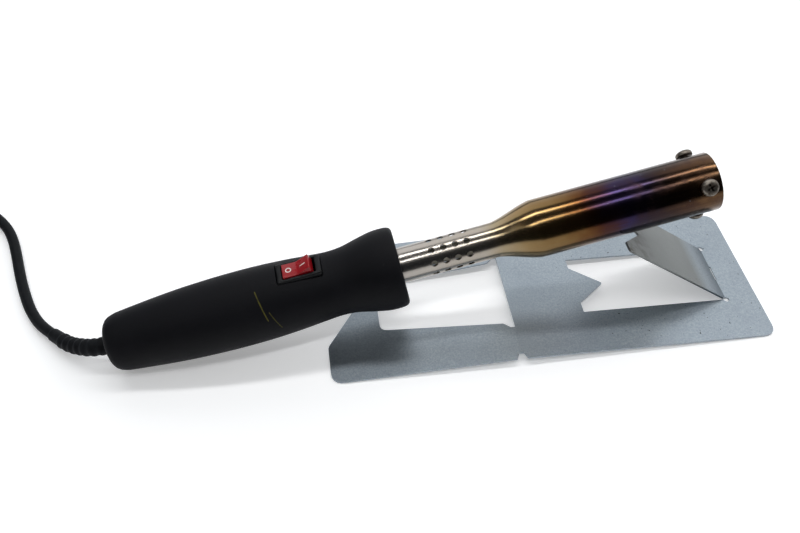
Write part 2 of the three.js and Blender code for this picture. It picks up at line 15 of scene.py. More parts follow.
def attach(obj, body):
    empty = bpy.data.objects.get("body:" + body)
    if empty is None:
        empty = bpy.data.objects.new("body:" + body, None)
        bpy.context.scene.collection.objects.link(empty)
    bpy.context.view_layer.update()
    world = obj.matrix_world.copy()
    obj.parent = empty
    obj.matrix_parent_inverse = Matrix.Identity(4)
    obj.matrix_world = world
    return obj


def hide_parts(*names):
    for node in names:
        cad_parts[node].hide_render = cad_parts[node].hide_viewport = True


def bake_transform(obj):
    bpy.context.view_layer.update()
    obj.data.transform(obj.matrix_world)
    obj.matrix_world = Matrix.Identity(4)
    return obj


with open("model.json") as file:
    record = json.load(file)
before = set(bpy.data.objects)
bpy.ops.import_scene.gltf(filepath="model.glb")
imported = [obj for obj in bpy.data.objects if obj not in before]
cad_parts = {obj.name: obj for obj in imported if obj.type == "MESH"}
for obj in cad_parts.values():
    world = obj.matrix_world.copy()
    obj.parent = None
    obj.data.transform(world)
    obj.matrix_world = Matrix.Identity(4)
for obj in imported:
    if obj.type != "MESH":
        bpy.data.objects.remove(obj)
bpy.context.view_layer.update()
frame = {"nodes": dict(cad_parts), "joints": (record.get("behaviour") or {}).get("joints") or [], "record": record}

MM = 0.001
NODES = frame["nodes"]
JOINTS = {joint["name"]: joint for joint in frame["joints"]}
MOUNTS = {mount["name"]: mount for mount in frame["record"]["mounts"]}

# ------------------------------------------------------------------ camera
CAMERA_PLACE = (-58.7, -266.0, 330.1)
CAMERA_HEADING = math.radians(8.05)     # from +Y towards +X
CAMERA_DOWN = math.radians(48.03)
CAMERA_ROLL = math.radians(0.34)
CAMERA_LENS = 37.4
SENSOR_WIDTH = 36.0


def make_camera():
    data = bpy.data.cameras.new("camera")
    data.lens = CAMERA_LENS
    data.sensor_width = SENSOR_WIDTH
    data.sensor_fit = "HORIZONTAL"
    data.clip_start = 0.01
    data.clip_end = 20
    camera = bpy.data.objects.new("camera", data)
    bpy.context.scene.collection.objects.link(camera)
    turn = (Matrix.Rotation(-CAMERA_HEADING, 4, "Z")
            @ Matrix.Rotation(math.pi / 2 - CAMERA_DOWN, 4, "X")
            @ Matrix.Rotation(CAMERA_ROLL, 4, "Z"))
    camera.matrix_world = Matrix.Translation(Vector(CAMERA_PLACE) * MM) @ turn
    bpy.context.scene.camera = camera


make_camera()

# ------------------------------------------------------------------ the iron's own frame
SWITCH_STATION = 98.7
PIVOT_HEIGHT = 14.8
MOUTH = 296.8
BARREL_RADIUS = 14.0
NECK_RADIUS = 8.5
WALL = 0.8
BUTT_FACE = 2.6                     # the handle's rear face, along the axis

ALONG = Vector(MOUNTS["bit_socket_face"]["axis"]).normalized()
UP = (Vector((0, 0, 1)) - ALONG * ALONG.z).normalized()
SIDE = ALONG.cross(UP)
BUTT = (Vector(JOINTS["switch_rock"]["pos_m"]) / MM
        - ALONG * SWITCH_STATION - UP * PIVOT_HEIGHT)
IRON = Matrix.Translation(BUTT) @ Matrix((UP, SIDE, ALONG)).transposed().to_4x4()
TABLE = Matrix.Identity(4)
ACROSS = Matrix.Rotation(math.pi / 2, 4, "Y")


def around(degrees):
    """A turn about the iron's own axis."""
    return Matrix.Rotation(math.radians(degrees), 4, "Z")


# ------------------------------------------------------------------ mesh tools
def mesh_object(name, verts, faces):
    mesh = bpy.data.meshes.new(name)
    mesh.from_pydata([tuple(v) for v in verts], [], faces)
    obj = bpy.data.objects.new(name, mesh)
    bpy.context.scene.collection.objects.link(obj)
    return obj


def loft(name, loops, closed=False):
    """The skin through equal loops of points, capped at its ends unless it closes on itself."""
    count = len(loops[0])
    verts = [p for loop in loops for p in loop]
    faces = []
    rows = len(loops) if closed else len(loops) - 1
    for i in range(rows):
        a = i * count
        b = ((i + 1) % len(loops)) * count
        for k in range(count):
            n = (k + 1) % count
            faces.append((a + k, a + n, b + n, b + k))
    if not closed:
        faces.append(tuple(reversed(range(count))))
        faces.append(tuple(range(len(verts) - count, len(verts))))
    return mesh_object(name, verts, faces)


def circle(radius, z, sides):
    return [Vector((radius * math.cos(a), radius * math.sin(a), z))
            for a in (2 * math.pi * k / sides for k in range(sides))]


def rounded_box_loop(half_a, half_b, radius, z, steps=5):
    """A rounded rectangle in the plane z, as points (a, b, z)."""
    loop = []
    for quarter in range(4):
        sign_a = 1 if quarter in (0, 3) else -1
        sign_b = 1 if quarter in (0, 1) else -1
        for k in range(steps + 1):
            angle = math.pi / 2 * (quarter + k / steps)
            loop.append(Vector((sign_a * (half_a - radius) + radius * math.cos(angle),
                                sign_b * (half_b - radius) + radius * math.sin(angle), z)))
    return loop


def fillet(profile, radii, steps=4):
    """The [station, radius] profile with its corners rounded; radii maps a corner's index to its fillet."""
    out = []
    for i, (s, r) in enumerate(profile):
        size = radii.get(i, 0)
        if not size:
            out.append((s, r))
            continue
        here = Vector((s, r))
        before = Vector(profile[i - 1])
        after = Vector(profile[(i + 1) % len(profile)])
        enter = here + (before - here).normalized() * size
        leave = here + (after - here).normalized() * size
        for k in range(steps + 1):
            t = k / steps
            point = enter * (1 - t) ** 2 + here * 2 * t * (1 - t) + leave * t ** 2
            out.append((point.x, point.y))
    return out


AXIS = 0.02                         # the radius that stands for a turned piece's own axis


def lathe(name, profile, sides=96, closed=True):
    """A turned piece about z. A closed profile makes a ring; an open one is capped at both ends."""
    return loft(name, [circle(r, s, sides) for s, r in profile], closed)


def drill(name, radius, start, end, sides):
    """A round bar about z, to cut a hole with."""
    return lathe(name, [(start, AXIS), (start, radius), (end, radius), (end, AXIS)], sides, closed=False)


def ease(t):
    """From 0 to 1 as t does, with a level start and end."""
    t = min(1, max(0, t))
    return t * t * (3 - 2 * t)


def spline(points, step):
    """Points about a step apart on a smooth curve through the given ones."""
    ends = [points[0] * 2 - points[1], *points, points[-1] * 2 - points[-2]]
    out = []
    for i in range(1, len(ends) - 2):
        p0, p1, p2, p3 = ends[i - 1:i + 3]
        count = max(1, round((p2 - p1).length / step))
        for k in range(count):
            t = k / count
            out.append(0.5 * (2 * p1 + (p2 - p0) * t + (2 * p0 - 5 * p1 + 4 * p2 - p3) * t ** 2
                              + (3 * p1 - p0 - 3 * p2 + p3) * t ** 3))
    return [*out, points[-1]]


def tube_loops(path, radius_at, sides):
    """Circles along a path, carried without twist. radius_at(i) is the radius at ring i."""
    loops = []
    normal = None
    for i, point in enumerate(path):
        ahead = (path[min(i + 1, len(path) - 1)] - path[max(i - 1, 0)]).normalized()
        if normal is None:
            normal = ahead.orthogonal().normalized()
        normal = (normal - ahead * normal.dot(ahead)).normalized()
        across = ahead.cross(normal)
        radius = radius_at(i)
        loops.append([point + (normal * math.cos(a) + across * math.sin(a)) * radius
                      for a in (2 * math.pi * k / sides for k in range(sides))])
    return loops


def applied(obj):
    """Makes the object's modifiers part of its mesh."""
    bpy.context.view_layer.update()
    shown = obj.evaluated_get(bpy.context.evaluated_depsgraph_get())
    mesh = bpy.data.meshes.new_from_object(shown)
    obj.modifiers.clear()
    obj.data = mesh
    return obj


def fix_normals(obj):
    shape = bmesh.new()
    shape.from_mesh(obj.data)
    bmesh.ops.remove_doubles(shape, verts=shape.verts, dist=0.002)
    bmesh.ops.recalc_face_normals(shape, faces=shape.faces)
    shape.to_mesh(obj.data)
    shape.free()
    return obj


def carve(obj, *cutters):
    """Takes the cutters' shapes away from the object, and removes them."""
    fix_normals(obj)
    for cutter in cutters:
        fix_normals(cutter)
        cut = obj.modifiers.new("cut", "BOOLEAN")
        cut.operation = "DIFFERENCE"
        cut.solver = "EXACT"
        cut.object = cutter
    applied(obj)
    for cutter in cutters:
        bpy.data.objects.remove(cutter)
    return obj


def bevelled(obj, width, segments=3, angle=30):
    bevel = obj.modifiers.new("bevel", "BEVEL")
    bevel.width = width
    bevel.segments = segments
    bevel.limit_method = "ANGLE"
    bevel.angle_limit = math.radians(angle)
    return applied(obj)


def turned_by(obj, matrix):
    obj.data.transform(matrix)
    return obj


SHARP = 32


def placed(obj, matrix, material, body, nodes=(), sharp=SHARP):
    """Puts a piece made in millimetres into the model, with its finish, body and the nodes it replaces."""
    fix_normals(obj)
    mesh = obj.data
    own = mesh.attributes.new("place", "FLOAT_VECTOR", "POINT")
    own.data.foreach_set("vector", [c for v in mesh.vertices for c in v.co])
    mesh.transform(Matrix.Scale(MM, 4) @ matrix)
    for face in mesh.polygons:
        face.use_smooth = True
    mesh.set_sharp_from_angle(angle=math.radians(sharp))
    mesh.materials.clear()
    mesh.materials.append(material)
    if nodes:
        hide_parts(*nodes)
    if body:
        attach(obj, body)
    return obj


def joined(name, objects):
    """One mesh of several, which don't touch each other's faces."""
    shape = bmesh.new()
    for obj in objects:
        shape.from_mesh(obj.data)
        bpy.data.objects.remove(obj)
    mesh = bpy.data.meshes.new(name)
    shape.to_mesh(mesh)
    shape.free()
    obj = bpy.data.objects.new(name, mesh)
    bpy.context.scene.collection.objects.link(obj)
    return obj


# ------------------------------------------------------------------ material tools
class Finish:
    """A material's node tree, with one Principled shader and short ways to add to it."""

    def __init__(self, name, **inputs):
        self.material = bpy.data.materials.new(name)
        self.material.use_nodes = True
        self.tree = self.material.node_tree
        self.shader = self.tree.nodes["Principled BSDF"]
        for key, value in inputs.items():
            self.shader.inputs[key.replace("_", " ")].default_value = value

    def node(self, kind, links=(), **settings):
        made = self.tree.nodes.new("ShaderNode" + kind)
        for key, value in settings.items():
            setattr(made, key, value)
        for socket, source in dict(links).items():
            if isinstance(source, (int, float, tuple)):
                made.inputs[socket].default_value = source
            else:
                self.tree.links.new(source, made.inputs[socket])
        return made

    def place(self, scale=(1.0, 1.0, 1.0)):
        """The point's place in the piece's own frame, in millimetres, scaled along each axis."""
        own = self.node("Attribute", attribute_type="GEOMETRY", attribute_name="place")
        return self.scaled(own.outputs["Vector"], scale)

    def model_place(self, scale=(1.0, 1.0, 1.0)):
        """The same for a CAD node, which has no attribute, from its object's own coordinates."""
        own = self.node("TexCoord")
        return self.scaled(own.outputs["Object"], tuple(s / MM for s in scale))

    def scaled(self, vector, scale):
        return self.node("VectorMath", {0: vector, 1: scale}, operation="MULTIPLY").outputs["Vector"]

    def noise(self, vector, scale, detail=3.0, rough=0.55):
        made = self.node("TexNoise", {"Vector": vector, "Scale": scale, "Detail": detail,
                                      "Roughness": rough})
        return made.outputs["Fac"]

    def math(self, operation, a, b=0.0, c=0.0, clamp=False):
        made = self.node("Math", {0: a, 1: b, 2: c}, operation=operation)
        made.use_clamp = clamp
        return made.outputs[0]

    def between(self, value, low, high, to_low=0.0, to_high=1.0):
        made = self.node("MapRange", {"Value": value, "From Min": low, "From Max": high,
                                      "To Min": to_low, "To Max": to_high})
        return made.outputs["Result"]

    def ramp(self, value, stops):
        made = self.node("ValToRGB", {"Fac": value})
        band = made.color_ramp
        while len(band.elements) < len(stops):
            band.elements.new(0.5)
        for element, (at, colour) in zip(band.elements, stops):
            element.position = at
            element.color = (*colour, 1)
        return made.outputs["Color"]

    def mix(self, factor, a, b, blend="MIX"):
        made = self.node("Mix", data_type="RGBA", blend_type=blend)
        for index, source in ((0, factor), (6, a), (7, b)):
            if isinstance(source, (float, int)):
                made.inputs[index].default_value = source
            elif isinstance(source, tuple):
                made.inputs[index].default_value = (*source, 1)
            else:
                self.tree.links.new(source, made.inputs[index])
        return made.outputs[2]

    def bump(self, height, strength, distance, under=None):
        made = self.node("Bump", {"Height": height, "Strength": strength, "Distance": distance})
        if under is not None:
            self.tree.links.new(under, made.inputs["Normal"])
        return made.outputs["Normal"]

    def set(self, **sources):
        for key, source in sources.items():
            self.tree.links.new(source, self.shader.inputs[key.replace("_", " ")])
        return self


def rgb(red, green, blue):
    """A colour from its 0-255 screen values."""
    def linear(v):
        v /= 255
        return v / 12.92 if v <= 0.04045 else ((v + 0.055) / 1.055) ** 2.4
    return tuple(linear(v) for v in (red, green, blue))


def stroke(f, across, along, start, end, width):
    """1 on a thin line from start to end in a plane whose coordinates are across and along."""
    run = Vector(end) - Vector(start)
    dx = f.math("SUBTRACT", across, start[0])
    dy = f.math("SUBTRACT", along, start[1])
    dot = f.math("ADD", f.math("MULTIPLY", dx, run.x), f.math("MULTIPLY", dy, run.y))
    t = f.math("DIVIDE", dot, run.length_squared, clamp=True)
    ex = f.math("SUBTRACT", dx, f.math("MULTIPLY", t, run.x))
    ey = f.math("SUBTRACT", dy, f.math("MULTIPLY", t, run.y))
    gap = f.math("SQRT", f.math("ADD", f.math("MULTIPLY", ex, ex), f.math("MULTIPLY", ey, ey)))
    return f.between(gap, width, width * 0.35)


# ------------------------------------------------------------------ materials
def soft_touch():
    f = Finish("soft_touch", Sheen_Weight=0.01, Sheen_Roughness=0.4,
               Sheen_Tint=(0.55, 0.65, 0.9, 1), Specular_IOR_Level=0.09)
    place = f.place()
    x, y, z = (f.node("SeparateXYZ", {0: place}).outputs[i] for i in range(3))
    angle = f.math("DEGREES", f.math("ARCTAN2", y, x))
    cloud = f.noise(place, 0.05, 4.0)
    colour = f.ramp(cloud, [(0.3, rgb(13, 14, 17)), (0.7, rgb(18, 18, 22))])
    dust = f.between(f.noise(place, 2.2, 2.0), 0.70, 0.76)
    colour = f.mix(f.math("MULTIPLY", dust, 0.25), colour, rgb(64, 64, 62))
    arc = f.math("MULTIPLY", angle, 0.31)      # degrees to millimetres round the handle
    broken = f.between(f.noise(place, 0.8, 3.0), 0.3, 0.52, 0.35, 1.0)
    scuff = f.math("MAXIMUM", stroke(f, z, arc, (77.4, 7.0), (79.8, 21.6), 0.42),
                   f.math("MULTIPLY", stroke(f, z, arc, (81.4, 17.8), (84.6, 27.6), 0.34), 0.7))
    scuff = f.math("MULTIPLY", scuff, broken, clamp=True)
    colour = f.mix(f.math("MULTIPLY", scuff, 0.55), colour, rgb(110, 106, 44))
    rough = f.between(cloud, 0.3, 0.7, 0.52, 0.64)
    grain = f.noise(place, 5.5, 2.0)
    return f.set(Base_Color=colour, Roughness=rough, Normal=f.bump(grain, 0.12, 0.0002)).material


def moulded(name, colour, rough, grain=3.0, strength=0.1, coordinates="place", **inputs):
    """Moulded plastic or rubber: an even colour with a faint mottle and a fine grain."""
    f = Finish(name, **inputs)
    place = getattr(f, coordinates)()
    mottle = f.noise(place, 0.25, 3.0)
    darker = tuple(c * 0.82 for c in colour)
    f.set(Base_Color=f.mix(mottle, colour, darker),
          Roughness=f.between(mottle, 0.3, 0.7, rough - 0.06, rough + 0.06),
          Normal=f.bump(f.noise(place, grain, 2.0), strength, 0.0002))
    return f.material


def cord_rubber():
    """A matt black jacket with faint marks along it."""
    f = Finish("cord_rubber", Sheen_Weight=0.02, Sheen_Tint=(0.6, 0.68, 0.9, 1),
               Specular_IOR_Level=0.08)
    place = f.place()
    scuffs = f.noise(place, 0.35, 5.0, 0.65)
    colour = f.ramp(scuffs, [(0.35, rgb(14, 15, 17)), (0.75, rgb(26, 28, 31))])
    f.set(Base_Color=colour, Roughness=f.between(scuffs, 0.3, 0.7, 0.5, 0.68),
          Normal=f.bump(f.noise(place, 2.5, 3.0), 0.25, 0.0003))
    return f.material


TINTS = [  # station along the iron, and the metal's colour there
    (136, rgb(168, 163, 158)), (184, rgb(162, 154, 143)), (194, rgb(150, 136, 110)),
    (206, rgb(134, 112, 78)), (220, rgb(114, 89, 55)), (230, rgb(94, 63, 36)),
    (237, rgb(74, 44, 30)), (244, rgb(60, 38, 42)), (252, rgb(48, 40, 68)),
    (262, rgb(44, 36, 44)), (272, rgb(54, 41, 36)), (283, rgb(76, 55, 40)),
    (292, rgb(96, 72, 50)), (296.8, rgb(92, 74, 58)),
]


def tinted_steel():
    """Stainless tube, brushed lengthwise, with the heat's temper colours along the barrel."""
    f = Finish("tinted_steel", Metallic=1.0)
    place = f.place()
    z = f.node("SeparateXYZ", {0: place}).outputs[2]
    drift = f.between(f.noise(place, 0.045, 3.0), 0.3, 0.7, -7.0, 7.0)
    streak = f.noise(f.place((1.6, 1.6, 0.035)), 1.0, 4.0, 0.7)
    fine = f.noise(f.place((5.0, 5.0, 0.03)), 1.0, 2.0, 0.6)
    wander = f.math("ADD", drift, f.between(streak, 0.3, 0.7, -3.0, 3.0))
    hot = f.between(z, 186.0, 215.0)
    station = f.math("MULTIPLY_ADD", wander, hot, z)
    low, high = TINTS[0][0], TINTS[-1][0]
    colour = f.ramp(f.between(station, low, high), [((s - low) / (high - low), c) for s, c in TINTS])
    shade = f.ramp(streak, [(0.3, (0.62, 0.62, 0.62)), (0.65, (1, 1, 1))])
    colour = f.mix(f.between(z, 190.0, 225.0, 0.15, 0.6), colour, shade, "MULTIPLY")
    soot = f.math("MULTIPLY", f.between(f.noise(place, 0.12, 5.0), 0.48, 0.66),
                  f.between(z, 232.0, 262.0, 0.0, 0.55))
    colour = f.mix(soot, colour, rgb(52, 36, 34))
    speck = f.between(f.noise(place, 0.9, 1.0), 0.77, 0.80)
    speck = f.math("MULTIPLY", speck, f.between(z, 225.0, 245.0))
    colour = f.mix(speck, colour, rgb(110, 114, 120))
    rough = f.math("ADD", f.between(streak, 0.3, 0.7, 0.13, 0.2), f.math("MULTIPLY", soot, 0.2))
    rough = f.math("ADD", rough, f.between(z, 205.0, 185.0, 0.0, 0.05))
    normal = f.bump(fine, 0.07, 0.0001)
    return f.set(Base_Color=colour, Roughness=rough, Normal=normal).material


def galvanised():
    """Zinc-coated sheet: fine mottled grain, rolling marks along it, dull wide reflections."""
    f = Finish("galvanised_sheet", Metallic=0.75)
    place = f.place()
    x, y, z = (f.node("SeparateXYZ", {0: place}).outputs[i] for i in range(3))
    grain = f.noise(place, 1.1, 6.0, 0.75)
    cloud = f.noise(place, 0.035, 3.0)
    colour = f.ramp(grain, [(0.32, rgb(130, 140, 148)), (0.5, rgb(148, 158, 166)),
                            (0.68, rgb(166, 174, 180))])
    colour = f.mix(f.between(cloud, 0.35, 0.65, 0.0, 0.3), colour, rgb(128, 138, 148))
    specks = f.between(f.noise(place, 0.8, 1.0), 0.735, 0.76)
    right = f.between(x, 40.0, 90.0, 0.1, 1.0)
    colour = f.mix(f.math("MULTIPLY", specks, right), colour, rgb(40, 42, 44))
    lifted = f.between(z, 9.0, 14.0)
    dull = f.mix(f.between(cloud, 0.35, 0.65), rgb(128, 129, 124), rgb(142, 143, 139))
    colour = f.mix(f.math("MULTIPLY", lifted, 0.75), colour, dull)
    burnt = f.math("MULTIPLY", f.between(z, 33.0, 45.0), f.between(f.noise(place, 0.22, 5.0), 0.42, 0.62))
    colour = f.mix(f.math("MULTIPLY", burnt, 0.8), colour, rgb(74, 66, 60))
    rough = f.math("ADD", f.between(grain, 0.3, 0.7, 0.28, 0.36), f.math("MULTIPLY", lifted, 0.15))
    rolled = f.noise(f.place((0.02, 1.4, 1.4)), 1.0, 3.0)
    waves = f.noise(place, 0.028, 1.0)
    normal = f.bump(waves, 0.35, 0.0012)
    normal = f.bump(rolled, 0.04, 0.0003, normal)
    normal = f.bump(grain, 0.05, 0.0003, normal)
    return f.set(Base_Color=colour, Roughness=rough, Normal=normal).material


def metal(name, colour, rough, dirt, dirt_colour, coordinates="place", **inputs):
    """Plain metal with stained patches, which are rougher than the rest."""
    f = Finish(name, Metallic=1.0, **inputs)
    place = getattr(f, coordinates)()
    stain = f.between(f.noise(place, 0.55, 5.0, 0.7), 0.45, 0.65, 0.0, dirt)
    f.set(Base_Color=f.mix(stain, colour, dirt_colour),
          Roughness=f.math("ADD", rough, f.math("MULTIPLY", stain, 0.25)),
          Normal=f.bump(f.noise(place, 3.0, 3.0), 0.12, 0.0002))
    return f.material


def woven(name, colour):
    """Braided glass-fibre sleeve."""
    f = Finish(name, Roughness=0.85)
    place = f.model_place()
    braid = f.noise(place, 2.6, 3.0)
    f.set(Base_Color=f.ramp(braid, [(0.3, tuple(c * 0.7 for c in colour)), (0.7, colour)]),
          Normal=f.bump(braid, 0.5, 0.0004))
    return f.material


def striped(name, colour, stripe):
    """Insulation in two colours, as an earth core has."""
    f = Finish(name, Roughness=0.45)
    place = f.model_place((0.6, 0.6, 0.6))
    band = f.between(f.noise(place, 0.5, 0.0), 0.49, 0.51)
    f.set(Base_Color=f.mix(band, colour, stripe))
    return f.material


SOFT_TOUCH = soft_touch()
CORD_RUBBER = cord_rubber()
PLUG_RUBBER = moulded("plug_rubber", rgb(26, 27, 30), 0.5, 1.6, 0.25)
BLACK_PLASTIC = moulded("black_plastic", rgb(20, 21, 23), 0.38, 4.0, 0.12, Specular_IOR_Level=0.16)
RED_PLASTIC = moulded("red_plastic", rgb(152, 14, 24), 0.3, 5.0, 0.05, Specular_IOR_Level=0.35)
MARK_PAINT = moulded("mark_paint", rgb(232, 226, 222), 0.5, 6.0, 0.05)
TINTED_STEEL = tinted_steel()
GALVANISED = galvanised()
STAINLESS = metal("stainless", rgb(188, 180, 168), 0.2, 0.7, rgb(120, 96, 70))
SCREW_STEEL = metal("screw_steel", rgb(120, 114, 106), 0.36, 0.9, rgb(66, 56, 48))
PLUG_BRASS = metal("plug_brass", rgb(206, 200, 186), 0.22, 0.3, rgb(150, 132, 96))

INNER_FINISHES = {
    "brass": metal("brass", rgb(196, 160, 90), 0.3, 0.5, rgb(120, 88, 50), "model_place"),
    "stainless": metal("inner_stainless", rgb(188, 180, 168), 0.25, 0.6, rgb(120, 96, 70),
                       "model_place"),
    "screw_steel": metal("inner_steel", rgb(150, 146, 138), 0.35, 0.5, rgb(90, 80, 70),
                         "model_place"),
    "ceramic": moulded("ceramic", rgb(222, 214, 198), 0.55, 2.0, 0.2, "model_place"),
    "mica": moulded("mica", rgb(176, 166, 140), 0.4, 1.2, 0.3, "model_place"),
    "glass_sleeve": woven("glass_sleeve", rgb(214, 208, 194)),
    "brown_wire": moulded("brown_wire", rgb(94, 56, 34), 0.4, 3.0, 0.05, "model_place"),
    "blue_wire": moulded("blue_wire", rgb(40, 92, 170), 0.4, 3.0, 0.05, "model_place"),
    "earth_wire": striped("earth_wire", rgb(60, 130, 50), rgb(210, 190, 40)),
}

# ------------------------------------------------------------------ mains cord
CORD_RADIUS = 2.75
CORD_STEP = 2.6
LEAD_ROUTE = [
    (-192.55, 2.35, 4.62), (-196.3, 6.1, 4.1), (-200.5, 11.2, 3.3), (-204.4, 17.4, 2.85),
    (-207.9, 24.6, 2.75), (-212.4, 36.5, 2.75), (-216.3, 48.9, 2.75), (-219.6, 60.5, 2.75),
    (-223.1, 71.4, 2.75), (-227.1, 80.2, 2.75), (-232.4, 88.0, 2.8), (-239.8, 95.9, 3.3),
]
TAIL_ROUTE = [
    (-333.9, 75.7, 2.85), (-333.9, 66, 4.3), (-333.9, 56, 9.4),
    (-333.9, 47, 14.8), (-333.9, 38, 18.0), (-333.9, 28.4, 18.7), (-333.9, 24.0, 18.7),
]
RELIEF_BEND = [
    (-168.8, -14.2, 11.6), (-175, -11.6, 9.4), (-182.8, -6.6, 6.6), (-192.1, 1.9, 4.7),
]
COIL = {
    "centre": Vector((-283.9, 86.0, 0)), "outer": 39.0, "inner": 22.2, "pitch": 5.6,
    "lower": 3.75, "upper": 9.25, "start": 45, "turns_in": 3.0, "turns_out": 3.125, "climb": 0.14,
    "steps_a_turn": 48,
}
LEAVING_RADIUS = 50.0
LEAVING_ANGLE = 78
LEAVING_STEP = 4
DROP = (22, 72)                     # the cord comes down off the coil between these angles


def coil_points():
    points = []
    turns = COIL["turns_in"] + COIL["turns_out"]
    steps = round(turns * COIL["steps_a_turn"])
    for k in range(steps + 1):
        turn = turns * k / steps
        angle = math.radians(COIL["start"]) + 2 * math.pi * turn
        if turn < COIL["turns_in"]:
            radius = COIL["outer"] - COIL["pitch"] * turn
        else:
            radius = COIL["inner"] + COIL["pitch"] * (turn - COIL["turns_in"])
        rise = ease((turn - COIL["turns_in"] + COIL["climb"]) / (2 * COIL["climb"]))
        height = COIL["lower"] + (COIL["upper"] - COIL["lower"]) * rise
        spoke = Vector((radius * math.cos(angle), radius * math.sin(angle), height))
        points.append(COIL["centre"] + spoke)
    return points


def leaving_points():
    last = coil_points()[-1]
    middle = last - Vector((0, LEAVING_RADIUS, 0))
    points = []
    for degrees in range(LEAVING_STEP, LEAVING_ANGLE + 1, LEAVING_STEP):
        angle = math.radians(degrees)
        drop = ease((degrees - DROP[0]) / (DROP[1] - DROP[0]))
        height = last.z + (CORD_RADIUS - last.z) * drop
        points.append(Vector((middle.x - LEAVING_RADIUS * math.sin(angle),
                              middle.y + LEAVING_RADIUS * math.cos(angle), height)))
    return points


def cord_path():
    route = [Vector(RELIEF_BEND[-1])] + [Vector(p) for p in LEAD_ROUTE]
    route += coil_points() + leaving_points() + [Vector(p) for p in TAIL_ROUTE]
    return spline(route, CORD_STEP)


def make_cord():
    path = cord_path()
    cord = loft("mains_cord", tube_loops(path, lambda i: CORD_RADIUS, CORD_SIDES))
    placed(cord, TABLE, CORD_RUBBER, None, ("cord_lead", "cord_coil", "cord_tail"))
    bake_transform(cord)
    return cord, path


RELIEF_START = 7.5                  # inside the butt, along the iron
CORD_INSIDE = (30, 22, 14, RELIEF_START, BUTT_FACE)
CORD_SIDES = 16
RELIEF = {
    "plain": 4.9, "radius": 4.15, "taper": 0.85, "bore_play": 0.03, "step": 0.5, "sides": 32,
    "end_length": 0.6, "end_rounding": 0.25,
}
RIBS = {"first": 9.0, "pitch": 4.1, "count": 7, "width": 1.5, "height": 0.42}
RELIEF_FLANGE = {"rear": 5.9, "front": 8.7, "bore": 3.3, "radius": 6.4, "edge": 0.5}


def bent_path(stations, step):
    """A path that leaves the butt through these stations on the axis and follows the relief's bend."""
    straight = [IRON @ Vector((0, 0, station)) for station in stations]
    return spline(straight + [Vector(p) for p in RELIEF_BEND], step)


def make_cord_inside():
    """The stretch of cord that runs through the relief to its clamp inside the handle."""
    path = bent_path(CORD_INSIDE, CORD_STEP)
    inside = loft("cord_inside", tube_loops(path, lambda i: CORD_RADIUS - 0.05, CORD_SIDES))
    return placed(inside, TABLE, CORD_RUBBER, "iron", ("cord_entry",))


def make_relief():
    """A tapered sleeve: plain at the butt, then ribbed, then a bare end."""
    path = bent_path((RELIEF_START, BUTT_FACE), RELIEF["step"])
    lengths = [0.0]
    for a, b in zip(path, path[1:]):
        lengths.append(lengths[-1] + (b - a).length)
    total = lengths[-1]

    def radius_at(i):
        along = lengths[i]
        taper = max(0.0, along - RELIEF["plain"]) / (total - RELIEF["plain"])
        radius = RELIEF["radius"] - RELIEF["taper"] * taper
        for rib in range(RIBS["count"]):
            gap = abs(along - RIBS["first"] - rib * RIBS["pitch"])
            radius += RIBS["height"] * max(0.0, 1 - (gap / RIBS["width"]) ** 2)
        rounding = max(0.0, 1 - (total - along) / RELIEF["end_length"]) ** 2
        return radius - RELIEF["end_rounding"] * rounding

    outside = tube_loops(path, radius_at, RELIEF["sides"])
    bore = tube_loops(path, lambda i: CORD_RADIUS + RELIEF["bore_play"], RELIEF["sides"])
    sleeve = loft("relief_sleeve", outside + bore[::-1], closed=True)
    rear, front = RELIEF_FLANGE["rear"], RELIEF_FLANGE["front"]
    bore_radius, radius = RELIEF_FLANGE["bore"], RELIEF_FLANGE["radius"]
    profile = [(rear, bore_radius), (rear, radius), (front, radius), (front, bore_radius)]
    rounded = fillet(profile, {1: RELIEF_FLANGE["edge"], 2: RELIEF_FLANGE["edge"]})
    flange = lathe("relief_flange", rounded, 48)
    turned_by(flange, IRON)
    return placed(joined("relief", [sleeve, flange]), TABLE, CORD_RUBBER, "iron",
                  ("strain_relief",), sharp=50)


TIE = {
    "angle": 205, "width": 5.0, "thickness": 0.65, "edge": 0.15, "corner": 1.4,
    "slack": 0.25, "inner_gap": 0.4, "outer_gap": 1.2, "head_place": 6,
}


def make_tie():
    """A flat band looped round the coil, with its tail pulled through a small head."""
    inner = COIL["inner"] - CORD_RADIUS - TIE["inner_gap"]
    outer = COIL["outer"] + CORD_RADIUS + TIE["outer_gap"]
    low = COIL["lower"] - CORD_RADIUS - TIE["slack"]
    high = COIL["upper"] + CORD_RADIUS + TIE["slack"]
    middle_a, middle_b = (inner + outer) / 2, (low + high) / 2
    half_a, half_b = (outer - inner) / 2, (high - low) / 2
    half_width, thickness, edge = TIE["width"] / 2, TIE["thickness"], TIE["edge"]
    sections = [(0, -half_width + edge), (edge, -half_width), (thickness - edge, -half_width),
                (thickness, -half_width + edge), (thickness, half_width - edge),
                (thickness - edge, half_width), (edge, half_width), (0, half_width - edge)]
    rings = []
    for grow, across in sections:
        loop = rounded_box_loop(half_a + grow, half_b + grow, TIE["corner"] + grow, across, 6)
        rings.append([Vector((p.x + middle_a, p.z, p.y + middle_b)) for p in loop])
    band = loft("tie_band", rings, closed=True)
    head_loops = [rounded_box_loop(2.6, 3.6, 0.8, z) for z in (0.0, 0.9)]
    head_loops += [rounded_box_loop(2.2, 3.2, 0.6, 1.4)]
    head = loft("tie_head", head_loops)
    turned_by(head, Matrix.Translation((middle_a + TIE["head_place"], 0, high + thickness / 2)))
    tie = joined("cord_tie_band", [band, head])
    spin = Matrix.Translation(COIL["centre"]) @ around(TIE["angle"])
    return placed(tie, spin, BLACK_PLASTIC, "stand", ("cord_tie",), sharp=40)


